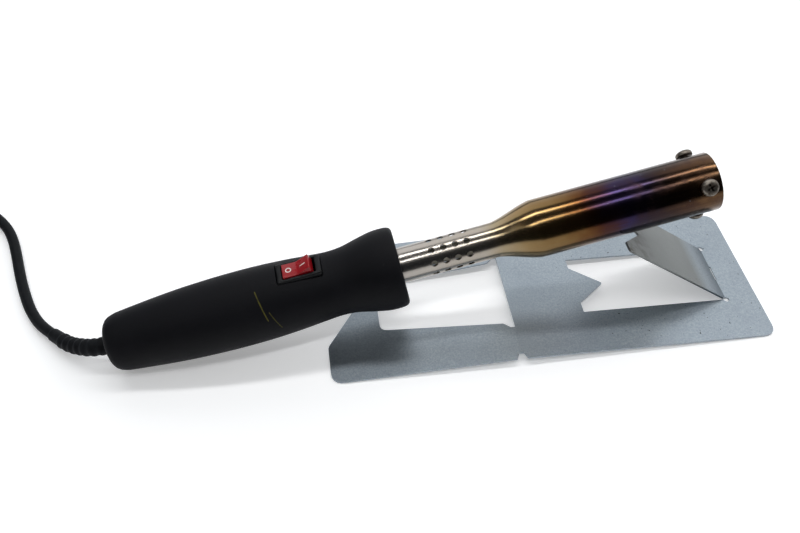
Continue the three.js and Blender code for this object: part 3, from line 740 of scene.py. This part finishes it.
# ------------------------------------------------------------------ plug
PLUG = {"tail": Vector((-333.9, 28, 18.7)), "length": 50.0, "radius": 18.5}
TAIL_RIBS = {"count": 4, "start": 2.2, "pitch": 3.6, "radius": 3.7, "growth": 0.42}
PIN = {"spacing": 19.0, "radius": 2.4, "length": 19.0, "sunk": 7.7}
GROOVE = {"depth": 2.6, "half_width": 3.2, "length": 9}
GRIP = {"radius": 16, "middle": 32.6, "station": 30, "half_length": 30}
CLIP = {"inset": 1.5, "half_thickness": 0.5, "half_width": 2.5, "length": 8.7, "edge": 0.3}
PLUG_FRAME = Matrix.Translation(PLUG["tail"]) @ Matrix.Rotation(math.pi / 2, 4, "X")


def box_between(name, low, high):
    return loft(name, [[Vector((a, b, z)) for a, b in (
        (low[0], low[1]), (high[0], low[1]), (high[0], high[1]), (low[0], high[1]))]
        for z in (low[2], high[2])])


def make_plug():
    length, radius = PLUG["length"], PLUG["radius"]
    profile = [(0.0, AXIS), (0.0, 3.1), (0.5, 3.5)]
    for rib in range(TAIL_RIBS["count"]):
        s = TAIL_RIBS["start"] + rib * TAIL_RIBS["pitch"]
        r = TAIL_RIBS["radius"] + rib * TAIL_RIBS["growth"]
        profile += [(s, r), (s + 0.5, r + 0.55), (s + 1.6, r + 0.6), (s + 2.1, r + 0.1)]
    profile += [(18, 6.4), (21, 8.0), (24, 9.2), (27, 10.6), (29.5, 12.4), (31.5, 14.4), (33.2, 16.0),
                (35.0, 17.3), (37, 18.2), (39.0, radius), (length - 1.2, radius),
                (length - 0.4, radius - 0.35), (length, radius - 1.2), (length, AXIS)]
    body = lathe("plug", profile, 96, closed=False)
    cutters = []
    for side in (1, -1):
        hole = drill("hole", PIN["radius"] + 0.1, length - 8, length + 1, 32)
        cutters.append(turned_by(hole, Matrix.Translation((0, side * PIN["spacing"] / 2, 0))))
    for side in (1, -1):
        near, far = sorted((side * (radius - GROOVE["depth"]), side * (radius + 2)))
        cutters.append(box_between("groove", (near, -GROOVE["half_width"], length - GROOVE["length"]),
                                   (far, GROOVE["half_width"], length + 1)))
    for side in (1, -1):                 # shallow grips either side of the body
        grip = drill("grip", GRIP["radius"], -GRIP["half_length"], GRIP["half_length"], 64)
        turned_by(grip, Matrix.Translation((0, side * GRIP["middle"], GRIP["station"])) @ ACROSS)
        cutters.append(grip)
    carve(body, *cutters)
    placed(body, PLUG_FRAME, PLUG_RUBBER, "stand", ("plug_body",))
    pieces = [body]
    for number, side in ((1, 1), (2, -1)):
        rear, tip = length - PIN["sunk"], length + PIN["length"]
        pin = lathe(f"plug_pin_{number}_fine", [
            (rear, AXIS), (rear, PIN["radius"]), (tip - 2.4, PIN["radius"]),
            (tip - 1.2, 2.15), (tip - 0.4, 1.55), (tip, 0.7), (tip, AXIS)], 40, closed=False)
        turned_by(pin, Matrix.Translation((0, side * PIN["spacing"] / 2, 0)))
        pieces.append(placed(pin, PLUG_FRAME, PLUG_BRASS, "stand", (f"plug_pin_{number}",)))
        middle = side * (radius - CLIP["inset"])
        low = (middle - CLIP["half_thickness"], -CLIP["half_width"], length - CLIP["length"])
        high = (middle + CLIP["half_thickness"], CLIP["half_width"], length - 1)
        clip = box_between(f"earth_clip_{number}", low, high)
        bevelled(clip, CLIP["edge"])
        pieces.append(placed(clip, PLUG_FRAME, PLUG_BRASS, "stand",
                             (f"plug_earth_clip_{number}",)))
    return pieces


cord, cord_points = make_cord()
cord_inside = make_cord_inside()
relief = make_relief()
tie = make_tie()
plug_pieces = make_plug()

# ------------------------------------------------------------------ the rest
SHEET_EDGE = 0.22
FLAT = math.radians(0.8)            # facets that lie closer than this are joined into one


def make_rest():
    """The folded sheet, with its sharp edges broken."""
    sheet = NODES["stand_sheet"].data.copy()
    obj = bpy.data.objects.new("rest_sheet", sheet)
    bpy.context.scene.collection.objects.link(obj)
    sheet.transform(Matrix.Scale(1 / MM, 4))
    shape = bmesh.new()
    shape.from_mesh(sheet)
    bmesh.ops.remove_doubles(shape, verts=shape.verts, dist=0.01)
    bmesh.ops.dissolve_limit(shape, angle_limit=FLAT, verts=shape.verts, edges=shape.edges)
    shape.to_mesh(sheet)
    shape.free()
    bevelled(obj, SHEET_EDGE, 2, 28)
    placed(obj, TABLE, GALVANISED, "stand", ("stand_sheet",), sharp=1.2)


# ------------------------------------------------------------------ handle
HANDLE_SIDE = [
    (7, 13.6), (9, 14.1), (18, 15.1), (30, 16.3), (44, 17.3), (62, 17.9), (78, 17.8), (92, 17.1),
    (103, 16.2), (112, 15.6), (119.5, 16.1), (127, 17.8), (134, 19.2), (139, 19.5), (142.0, 19.3),
]
BOSS_RADIUS = 10.2
COLLAR_RADIUS = 15.0
FLANGE_SEAT = 139.2
COLLAR_FACE = 144.5
BUTT_WALL = 5.6                     # the inside of the handle's rear wall
CORD_HOLE_RADIUS = 4.5
CAVITY_RADIUS = 13.2
POCKET = {"gap": 0.3, "corner": 1.1, "top": 25}
WINDOW = {"half_length": 9.5, "half_width": 5.7, "corner": 0.6, "heights": (8, 16)}
BEZEL = {"half_length": 10.5, "half_width": 6.0, "top": 17.0, "ledge": 14.2, "floor": 4.0}


def make_handle():
    """A turned shell with a rounded butt, a waist and a cupped collar, and a pocket for the switch."""
    side = [(p.x, p.y) for p in spline([Vector((s, r, 0)) for s, r in HANDLE_SIDE], 1.4)]
    outside = [(BUTT_FACE, CORD_HOLE_RADIUS), (BUTT_FACE, 8.4), (2.85, 10.0), (3.4, 11.3),
               (4.3, 12.35), (5.5, 13.1)]
    outside += [*side, (143.2, 18.9), (144.0, 18.3), (144.4, 17.5), (COLLAR_FACE, 16.6)]
    lip = [(COLLAR_FACE, 15.6), (144.3, 15.2), (143.8, COLLAR_RADIUS)]
    inside = [(FLANGE_SEAT, COLLAR_RADIUS), (FLANGE_SEAT, BOSS_RADIUS), (121, BOSS_RADIUS),
              (117, 12.4), (92, 12.6), (88, CAVITY_RADIUS), (22, CAVITY_RADIUS), (8, 12.0),
              (BUTT_WALL, 11.6), (BUTT_WALL, CORD_HOLE_RADIUS)]
    handle = lathe("handle", outside + lip + inside, 160)
    pocket_loops = [rounded_box_loop(BEZEL["half_length"] + POCKET["gap"],
                                     BEZEL["half_width"] + POCKET["gap"], POCKET["corner"], height)
                    for height in (BEZEL["ledge"] - 0.1, POCKET["top"])]
    window_loops = [rounded_box_loop(WINDOW["half_length"], WINDOW["half_width"], WINDOW["corner"], height)
                    for height in WINDOW["heights"]]
    carve(handle, turned_by(loft("pocket", pocket_loops), SWITCH_FRAME),
          turned_by(loft("window", window_loops), SWITCH_FRAME))
    placed(handle, IRON, SOFT_TOUCH, "iron", ("handle_shell",), sharp=38)


# Loops made with a along the iron, b sideways and z up, set at the switch's station.
LYING = Matrix(((0, 0, 1, 0), (0, 1, 0, 0), (1, 0, 0, 0), (0, 0, 0, 1)))
SWITCH_FRAME = Matrix.Translation((0, 0, SWITCH_STATION)) @ LYING
WELL = {"half_length": 7.9, "half_width": 4.3, "floor": 5.4}


def make_bezel():
    """The housing: its body, the bezel's rounded rim, and the well that the rocker sits in."""
    long, wide = BEZEL["half_length"], BEZEL["half_width"]
    top = BEZEL["top"]
    well_a, well_b = WELL["half_length"], WELL["half_width"]
    steps = [
        (9.1, 5.4, 0.4, BEZEL["floor"]), (9.1, 5.4, 0.4, BEZEL["ledge"]),
        (long - 0.1, wide - 0.1, 0.9, BEZEL["ledge"]), (long, wide, 1.0, BEZEL["ledge"] + 0.15),
        (long, wide, 1.0, top - 0.75), (long - 0.12, wide - 0.12, 0.95, top - 0.4),
        (long - 0.4, wide - 0.4, 0.8, top - 0.12), (long - 0.75, wide - 0.75, 0.7, top),
        (well_a + 0.45, well_b + 0.45, 0.7, top), (well_a + 0.15, well_b + 0.15, 0.6, top - 0.12),
        (well_a, well_b, 0.5, top - 0.4), (well_a, well_b, 0.5, WELL["floor"]),
    ]
    bezel = loft("switch_bezel", [rounded_box_loop(a, b, r, h) for a, b, r, h in steps])
    turned_by(bezel, SWITCH_FRAME)
    placed(bezel, IRON, BLACK_PLASTIC, "iron", ("switch_housing",), sharp=40)


THROW = math.radians(12)
ROCKER_HALF_WIDTH = 4.1
ROCKER_FRAME = (Matrix.Translation((PIVOT_HEIGHT, 0, SWITCH_STATION)) @ LYING
                @ Matrix.Rotation(-THROW, 4, "Y"))
FACETS = {"reach": 6.8, "edge": 4.4, "valley": 2.7, "soft": 0.7, "half": 6.5, "steps": 22}
MARKS = {
    "sunk": -0.1, "proud": 0.03, "ring_at": -3.8, "ring_inner": 0.92, "ring_outer": 1.38,
    "bar_at": 3.3, "bar_half_length": 1.45, "bar_half_width": 0.26, "bar_corner": 0.12,
}


def facet_height(a):
    """Height of the rocker's top above its pivot: two facets that meet in a soft valley."""
    valley, soft = FACETS["valley"], FACETS["soft"]
    slope = (FACETS["edge"] - valley) / (FACETS["reach"] - soft / 2)
    return valley + slope * (math.sqrt(a * a + soft * soft) - soft)


def make_rocker():
    """A cap with a valley across its top and a rounded belly that clears the well."""
    half, steps = FACETS["half"], FACETS["steps"]
    top = [(a, facet_height(a)) for a in [half - 2 * half * k / steps for k in range(steps + 1)]]
    side = [(6.82, 3.95), *top, (-6.82, 3.95), (-7.0, 0.2), (-5.2, -3.4), (-2.2, -4.2),
            (2.2, -4.2), (5.2, -3.4), (7.0, 0.2)]
    rocker = loft("rocker_cap", [[Vector((a, b, h)) for a, h in side]
                                 for b in (-ROCKER_HALF_WIDTH, ROCKER_HALF_WIDTH)])
    fix_normals(rocker)
    bevelled(rocker, 0.32, 3, 40)
    turned_by(rocker, ROCKER_FRAME)
    placed(rocker, IRON, RED_PLASTIC, "rocker", ("switch_rocker",), sharp=45)


def on_facets(loop, at, rise):
    """A flat loop laid on the rocker's top at the place `at` along it."""
    return [Vector((p.x + at, p.y, facet_height(p.x + at) + rise)) for p in loop]


def make_marks():
    """The ring and the bar on the rocker's two halves, printed a little proud of the plastic."""
    inner, outer = MARKS["ring_inner"], MARKS["ring_outer"]
    sunk, proud = MARKS["sunk"], MARKS["proud"]
    ring = [on_facets(circle(radius, 0, 40), MARKS["ring_at"], rise)
            for radius, rise in ((inner, sunk), (inner, proud), (outer, proud), (outer, sunk))]
    outline = rounded_box_loop(MARKS["bar_half_length"], MARKS["bar_half_width"], MARKS["bar_corner"], 0)
    bar = [on_facets(outline, MARKS["bar_at"], rise) for rise in (sunk, proud)]
    for mark in (loft("mark_off", ring, closed=True), loft("mark_on", bar)):
        turned_by(mark, ROCKER_FRAME)
        placed(mark, IRON, MARK_PAINT, "rocker", sharp=50)


# ------------------------------------------------------------------ barrel
CONE = {"start": 190.5, "end": 210.8, "curve": 0.45, "steps": 24}
TUBE_REAR = 136
VENTS = {"first": 160, "pitch": 5.7, "columns": 4, "rows": 8, "first_angle": 20, "radius": 1.5}
VENT_FLARE = {"depth": 0.15, "width": 0.6}
SCREW_HOLE_RADIUS = 2.3
CLAMP_STATION = 289.9
CLAMP_ANGLES = (51.6, -68.4, 171.6)
CLAMP_LIFTS = (1.2, 1.2, 2.2)


def across_wall(cutter, station, degrees):
    """Turns a cutter made about z into one that points out through the tube's wall."""
    return turned_by(cutter, around(degrees) @ Matrix.Translation((0, 0, station)) @ ACROSS)


def vent(station, degrees):
    """A punched vent: a round hole that opens out a little at the neck's outer face."""
    radius, grow = VENTS["radius"], VENT_FLARE["width"]
    top = NECK_RADIUS - VENT_FLARE["depth"]
    profile = [(5, AXIS), (5, radius), (top, radius), (top + grow, radius + grow), (top + grow, AXIS)]
    return across_wall(lathe("vent", profile, 28, closed=False), station, degrees)


def clamp_holes(near, far):
    """The holes for the clamp screws, from the height `near` to `far` off the iron's axis."""
    return [across_wall(drill("clamp_hole", SCREW_HOLE_RADIUS, near, far, 40), CLAMP_STATION, angle)
            for angle in CLAMP_ANGLES]


def cone_radius(s, small, large):
    """The cone flares out of the neck in an S: a hollow start and a rounded shoulder."""
    t = min(1, max(0, (s - CONE["start"]) / (CONE["end"] - CONE["start"])))
    return small + (large - small) * (CONE["curve"] * ease(t) + (1 - CONE["curve"]) * t)


def make_barrel():
    """Neck, cone and barrel in one thin tube, with the vents and the clamp screws' holes."""
    inner = BARREL_RADIUS - WALL
    stations = [CONE["start"] + (CONE["end"] - CONE["start"]) * k / CONE["steps"]
                for k in range(CONE["steps"] + 1)]
    outside = [(s, NECK_RADIUS) for s in (TUBE_REAR, 150, 175, 186)]
    outside += [(s, cone_radius(s, NECK_RADIUS, BARREL_RADIUS)) for s in stations]
    outside += [(s, BARREL_RADIUS) for s in (216, 235, 255, 275, 290, MOUTH - 0.35)]
    outside += [(MOUTH - 0.1, BARREL_RADIUS - 0.08), (MOUTH, BARREL_RADIUS - 0.3)]
    inside = [(MOUTH, inner + 0.1), (MOUTH - 0.2, inner), (216, inner)]
    inside += [(s, cone_radius(s, NECK_RADIUS, BARREL_RADIUS) - WALL) for s in reversed(stations)]
    inside += [(TUBE_REAR, NECK_RADIUS - WALL)]
    barrel = lathe("barrel", outside + inside, 128)
    cutters = []
    for row in range(VENTS["rows"]):
        angle = VENTS["first_angle"] + 360 * row / VENTS["rows"]
        for column in range(VENTS["columns"]):
            cutters.append(vent(VENTS["first"] + column * VENTS["pitch"], angle))
    cutters += clamp_holes(11, 18)
    carve(barrel, joined("drills", cutters))
    placed(barrel, IRON, TINTED_STEEL, "iron", ("heater_tube",), sharp=20)


SOCKET = {"start": 218, "shoulder": 284, "end": 296.5, "bore": 9.7, "sleeve": 10.5, "play": 0.2}


def make_socket():
    """The sleeve that takes the bit, with a chamfered mouth."""
    start, shoulder, end = SOCKET["start"], SOCKET["shoulder"], SOCKET["end"]
    bore, sleeve = SOCKET["bore"], SOCKET["sleeve"]
    collar = BARREL_RADIUS - WALL - SOCKET["play"]
    profile = [(start, bore), (start, sleeve), (shoulder - 0.5, sleeve), (shoulder, sleeve + 0.5),
               (shoulder, collar - 0.3), (shoulder + 0.3, collar), (end - 0.4, collar),
               (end, collar - 0.4), (end, bore + 0.7), (end - 0.7, bore)]
    socket = lathe("socket_sleeve", profile, 96)
    carve(socket, joined("drills", clamp_holes(8, 16)))
    placed(socket, IRON, STAINLESS, "iron", ("bit_socket",), sharp=35)


CLAMP_SCREW = {"head": 4.0, "height": 2.7, "shank": 2.0, "cross": 2.3, "pitch": 0.7}
CLAMP_TIP = 4.2                     # how far a clamp screw's tip stays inside the barrel's face
FLANGE_SCREW = {"head": 1.95, "height": 1.6, "shank": 1.1, "cross": 1.2, "pitch": 0.9}
CROSS_TURN = 21
DOME = {"start": 0.42, "steps": 9}  # a pan head is a straight side and then a quarter ellipse


def pan_screw(name, under, length, head, height, shank, cross, pitch):
    """A pan-head screw along z with its head's underside at `under`, a thread and a cross recess."""
    tip = under - length
    profile = [(tip, AXIS), (tip, shank - 0.35)]
    for k in range(int((length - 0.6) / pitch)):
        s = tip + 0.15 + k * pitch
        profile += [(s, shank - 0.3), (s + pitch * 0.45, shank), (s + pitch * 0.6, shank)]
    profile += [(under - 0.3, shank - 0.3), (under - 0.05, shank), (under, head - 0.25),
                (under + 0.18, head)]
    straight = DOME["start"]
    for k in range(DOME["steps"]):
        angle = math.pi / 2 * k / DOME["steps"]
        profile.append((under + height * (straight + (1 - straight) * math.sin(angle)),
                        head * (straight + (1 - straight) * math.cos(angle))))
    profile += [(under + height, head * 0.36), (under + height, AXIS)]
    screw = lathe(name, profile, 48, closed=False)
    slots = []
    for turn in (0, 90):
        loops = [rounded_box_loop(cross * 0.45, cross * 0.13, 0.05, under + height * 0.3, 2),
                 rounded_box_loop(cross, cross * 0.2, 0.08, under + height + 0.3, 2)]
        slots.append(turned_by(loft("slot", loops), around(turn + CROSS_TURN)))
    return carve(screw, *slots)


def make_clamp_screws():
    for number, (angle, lift) in enumerate(zip(CLAMP_ANGLES, CLAMP_LIFTS), 1):
        under = BARREL_RADIUS + lift
        length = under - BARREL_RADIUS + CLAMP_TIP
        screw = pan_screw(f"clamp_{number}_screw", under, length, **CLAMP_SCREW)
        across_wall(screw, CLAMP_STATION, angle)
        placed(screw, IRON, SCREW_STEEL, f"clamp_{number}",
               (f"clamp_screw_{number}",), sharp=35)


FLANGE = {"angles": (0, 120, 240), "circle": 12.5, "hole_radius": 1.7, "play": 0.25, "edge": 0.3}


def make_flange():
    """The steel ring that holds the barrel in the handle's collar, and its three screws."""
    low, high = FLANGE_SEAT + 0.3, FLANGE_SEAT + 1.8
    bore, rim = NECK_RADIUS + FLANGE["play"], COLLAR_RADIUS - 0.3
    edge = FLANGE["edge"]
    ring = lathe("flange", [(low, bore), (low, rim), (high - edge, rim), (high, rim - edge),
                            (high, bore + 0.35), (high - edge, bore)])
    spots = [around(angle) @ Matrix.Translation((FLANGE["circle"], 0, 0)) for angle in FLANGE["angles"]]
    holes = [turned_by(drill("hole", FLANGE["hole_radius"], low - 1, high + 1, 28), spot)
             for spot in spots]
    carve(ring, joined("holes", holes))
    placed(ring, IRON, STAINLESS, "iron", ("mount_flange",), sharp=35)
    for number, spot in enumerate(spots, 1):
        screw = pan_screw(f"flange_{number}_screw", FLANGE_SEAT + 2.1, 9, **FLANGE_SCREW)
        turned_by(screw, spot)
        placed(screw, IRON, SCREW_STEEL, "iron", (f"flange_screw_{number}",), sharp=35)


make_rest()
make_handle()
make_bezel()
make_rocker()
make_marks()
make_barrel()
make_socket()
make_clamp_screws()
make_flange()

# ------------------------------------------------------------------ pieces that keep their CAD shape
for piece in frame["record"]["subparts"]:
    node = NODES[piece["node"]]
    if not node.hide_render:
        node.data.materials.clear()
        node.data.materials.append(INNER_FINISHES[piece["material_slot"]])

# ------------------------------------------------------------------ floor and light
FLOOR_SIZE = 6.0
FLOOR_COLOUR = (0.86, 0.87, 0.88, 1)
FLOOR_GLOW = 0.3
LIGHT_TARGET = (0.0, 0.0, 0.03)
LIGHTS = [                          # name, place, size and power
    ("back_strip", (0.0, 0.36, 1.32), (1.6, 0.12), 8),
    ("front_strip", (0.1, -0.42, 1.25), (1.6, 0.08), 5),
    ("back_soft", (0.25, 1.35, 0.9), (2.6, 1.4), 13),
    ("left_soft", (-1.2, -0.2, 1.0), (0.9, 0.9), 2),
    ("right_soft", (1.3, 0.25, 0.95), (0.8, 0.8), 5),
]
ROOM_COLOUR = (0.82, 0.9, 1.0, 1)
# The far side of the room is lighter: its strength runs between two values as +Y goes from 0 to 0.9.
ROOM_FADE = {"From Min": 0.0, "From Max": 0.9, "To Min": 0.03, "To Max": 0.25}


def make_floor():
    half = FLOOR_SIZE / 2
    corners = [(-half, -half, 0), (half, -half, 0), (half, half, 0), (-half, half, 0)]
    floor = mesh_object("floor", corners, [(0, 1, 2, 3)])
    finish = Finish("floor", Base_Color=FLOOR_COLOUR, Roughness=0.8, Emission_Color=(1, 1, 1, 1),
                    Emission_Strength=FLOOR_GLOW)
    floor.data.materials.append(finish.material)


def area_light(name, place, size, power):
    data = bpy.data.lights.new(name, "AREA")
    data.shape = "RECTANGLE"
    data.size, data.size_y = size
    data.energy = power
    light = bpy.data.objects.new(name, data)
    bpy.context.scene.collection.objects.link(light)
    aim = Vector(LIGHT_TARGET) - Vector(place)
    light.matrix_world = Matrix.Translation(place) @ aim.to_track_quat("-Z", "Y").to_matrix().to_4x4()


def make_room():
    """The light that comes from all round, a little blue."""
    world = bpy.data.worlds.new("world")
    world.use_nodes = True
    tree = world.node_tree
    ground = tree.nodes["Background"]
    ground.inputs["Color"].default_value = ROOM_COLOUR
    where = tree.nodes.new("ShaderNodeTexCoord")
    split = tree.nodes.new("ShaderNodeSeparateXYZ")
    fade = tree.nodes.new("ShaderNodeMapRange")
    for socket, value in ROOM_FADE.items():
        fade.inputs[socket].default_value = value
    tree.links.new(where.outputs["Generated"], split.inputs[0])
    tree.links.new(split.outputs["Y"], fade.inputs["Value"])
    tree.links.new(fade.outputs[0], ground.inputs["Strength"])
    bpy.context.scene.world = world


make_floor()
make_room()
for name, place, size, power in LIGHTS:
    area_light(name, place, size, power)
bpy.context.scene.view_settings.view_transform = "Standard"
